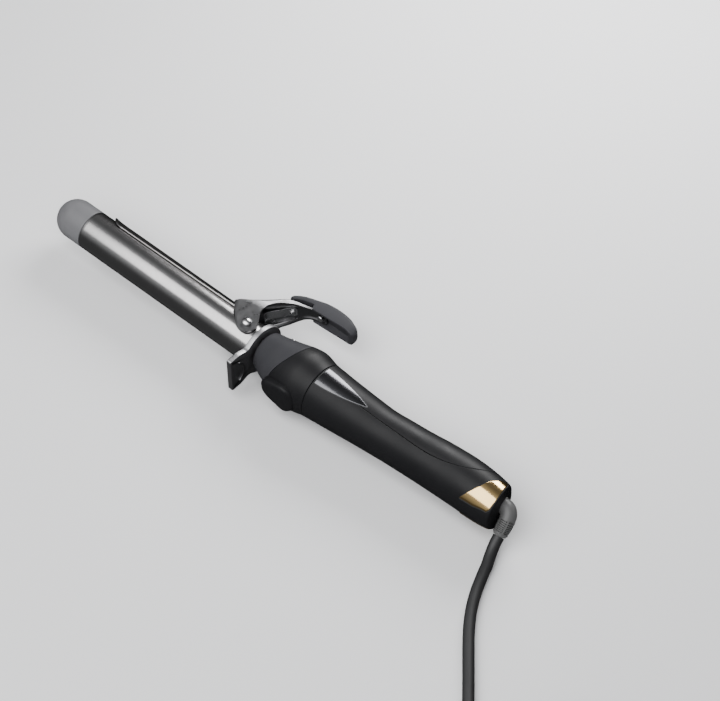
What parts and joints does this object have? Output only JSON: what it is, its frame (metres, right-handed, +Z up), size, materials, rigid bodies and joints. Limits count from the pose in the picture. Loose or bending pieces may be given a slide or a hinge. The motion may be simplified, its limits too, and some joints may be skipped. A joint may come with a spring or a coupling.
{
  "type": "automatic hair curler",
  "caption": "Clamp-type hair curler: heated round barrel turned by a geared motor, sprung clamp with thumb lever, waisted handle, swivel cord with flat plug.",
  "frame": {"origin": "bottom centre of the iron's bounding box without its cord, as it lies on its flank", "axes": "+X along the barrel from its tip towards the cord outlet, +Y to the thumb lever's side, +Z up, out of the iron's upper flank"},
  "size_m": [0.5515, 0.221, 0.0398],
  "materials": {
    "soft_touch_black": "soft-touch coated",
    "charcoal": "satin",
    "titanium": "polished titanium grey",
    "satin_steel": "satin",
    "bright_steel": "bright",
    "aluminium": "milled",
    "heat_plastic": "fine grained",
    "ceramic": "matt",
    "bronze": "machined",
    "nylon": "natural",
    "board_green": "lacquered board",
    "dark_plastic": "fine grained",
    "gloss_panel": "polished",
    "gold": "polished",
    "cord_rubber": "satin"
  },
  "bodies": {
    "cord_set": {"cord_swivel": "nylon", "strain_relief": "cord_rubber", "cord": "cord_rubber", "cord_coil": "cord_rubber", "cord_tail": "cord_rubber", "coil_tie": "dark_plastic", "plug_body": "dark_plastic", "plug_pin_inner": "bright_steel", "plug_pin_outer": "bright_steel"},
    "handle": {"front_cone": "charcoal", "collar_shell": "soft_touch_black", "belly_cover": "soft_touch_black", "grip_upper": "soft_touch_black", "grip_lower": "soft_touch_black", "flank_insert_left": "gloss_panel", "flank_insert_right": "gloss_panel", "rear_trim_left": "gold", "rear_trim_right": "gold", "grip_screw_front": "bright_steel", "grip_screw_rear": "bright_steel", "front_bush": "bronze", "rear_bush": "bronze", "rear_bearing_plate": "nylon", "gear_bracket": "satin_steel", "gearbox": "bronze", "motor": "bright_steel", "brush_block": "dark_plastic", "button_board": "board_green", "control_board": "board_green"},
    "barrel": {"barrel_tube": "titanium", "tip_cap": "heat_plastic", "heat_spreader_front": "aluminium", "heat_spreader_back": "aluminium", "ptc_heater": "ceramic", "temperature_sensor": "ceramic", "thermal_fuse": "bright_steel", "heater_leads": "ceramic", "barrel_hub": "heat_plastic", "stand_flange": "satin_steel", "flange_screw_1": "bright_steel", "flange_screw_2": "bright_steel", "flange_screw_3": "bright_steel", "driven_gear": "nylon", "slip_rings": "bronze", "retaining_ring": "bright_steel", "pivot_rivet_left": "bright_steel", "pivot_rivet_right": "bright_steel"},
    "clamp": {"clamp_plate": "titanium", "lever_bracket": "satin_steel", "plate_rivet_front": "bright_steel", "plate_rivet_rear": "bright_steel", "thumb_cap": "soft_touch_black", "thumb_cap_screw": "bright_steel", "leaf_spring": "bright_steel", "spring_rivet": "bright_steel"},
    "pinion": {"motor_pinion": "bronze"},
    "rotate_key": {"rotate_button": "bright_steel"},
    "power_key": {"power_button": "bright_steel"}
  },
  "joints": [
    {"name": "cord_swivel_turn", "type": "hinge", "parent": "cord_set", "child": "handle", "pos_m": [0.17675, -0.0028, 0.0199], "axis": [1, 0, 0], "continuous": true},
    {"name": "barrel_spin", "type": "hinge", "parent": "handle", "child": "barrel", "pos_m": [-0.02925, -0.0102, 0.0199], "axis": [1, 0, 0], "continuous": true},
    {"name": "clamp_open", "type": "hinge", "parent": "barrel", "child": "clamp", "pos_m": [-0.02185, -0.0094, 0.0199], "axis": [0, 0, -1], "range_deg": [0, 18], "stiffness_Nm_per_rad": 0.6, "springref_deg": -20.05, "deforming": ["leaf_spring"]},
    {"name": "motor_spin", "type": "hinge", "parent": "handle", "child": "pinion", "pos_m": [0.01025, -0.0202, 0.0199], "axis": [1, 0, 0], "continuous": true},
    {"name": "rotate_press", "type": "slide", "parent": "handle", "child": "rotate_key", "axis": [0, -1, 0], "range_m": [0, 0.001], "stiffness_N_per_m": 600, "springref_m": -0.0015},
    {"name": "power_press", "type": "slide", "parent": "handle", "child": "power_key", "axis": [0, -1, 0], "range_m": [0, 0.001], "stiffness_N_per_m": 600, "springref_m": -0.0015}
  ],
  "couplings": [
    {"joint": "motor_spin", "follows": "barrel_spin", "ratio": -2}
  ]
}
